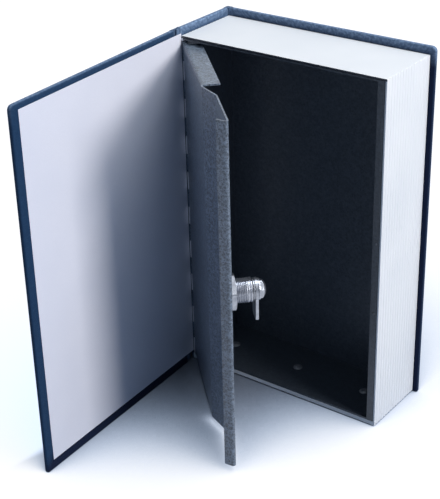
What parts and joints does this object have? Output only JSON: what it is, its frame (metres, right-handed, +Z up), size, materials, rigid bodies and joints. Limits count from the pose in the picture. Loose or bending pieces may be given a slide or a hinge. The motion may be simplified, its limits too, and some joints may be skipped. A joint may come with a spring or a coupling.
{
  "type": "book safe",
  "caption": "Hinged hardcover book case around a page block that hides a steel box; a folded steel door on a piano hinge closes the box with a cam lock.",
  "frame": {"origin": "on the shelf plane, in the middle of the spine's foot", "axes": "+Z up along the spine; +X from the spine to the fore edge; +Y from the front cover to the back cover"},
  "size_m": [0.1524, 0.2084, 0.24],
  "materials": {
    "cloth": "matt woven book cloth, navy blue",
    "board": "raw grey paperboard",
    "paper": "plain white endpaper",
    "block": "white moulding with page ribs",
    "paint": "dark blue-grey hammer-finish powder coat on steel sheet",
    "zinc": "zinc-plated steel",
    "chrome": "nickel-chrome plated zinc casting",
    "brass": "stamped brass"
  },
  "bodies": {
    "case": {"spine_cloth": "cloth", "spine_board": "board", "back_cover_cloth": "cloth", "back_cover_board": "board", "back_endpaper": "paper", "page_block_shell": "block", "box_body": "paint", "strike_bracket": "zinc", "strike_rivet_1": "zinc", "strike_rivet_2": "zinc", "floor_rivet_1": "zinc", "floor_rivet_2": "zinc", "floor_rivet_3": "zinc", "hinge_box_leaf": "zinc", "hinge_pin": "zinc"},
    "front_cover": {"front_cover_cloth": "cloth", "front_cover_board": "board", "front_endpaper": "paper"},
    "door": {"door_panel": "paint", "hinge_door_leaf": "paint", "lock_housing": "chrome", "lock_nut": "zinc"},
    "lock_core": {"lock_plug": "chrome", "lock_wafer_1": "brass", "lock_wafer_2": "brass", "lock_wafer_3": "brass", "lock_wafer_4": "brass", "lock_wafer_5": "brass", "cam_stop_washer": "zinc", "lock_cam": "zinc", "cam_bolt": "zinc"}
  },
  "joints": [
    {"name": "front_cover_hinge", "type": "hinge", "parent": "case", "child": "front_cover", "pos_m": [-0.0012, -0.0284, 0.12], "axis": [0, 0, -1], "range_deg": [-87.3, 89]},
    {"name": "door_hinge", "type": "hinge", "parent": "case", "child": "door", "pos_m": [0.00345, -0.024, 0.118], "axis": [0, 0, -1], "range_deg": [-44.5, 45.5]},
    {"name": "lock_turn", "type": "hinge", "parent": "door", "child": "lock_core", "pos_m": [0.08751, -0.1066, 0.118], "axis": [-0.7009, -0.7133, 0], "range_deg": [0, 90]}
  ],
  "couplings": [
    {"joint": "door_hinge", "follows": "front_cover_hinge", "ratio": 0.5097}
  ]
}
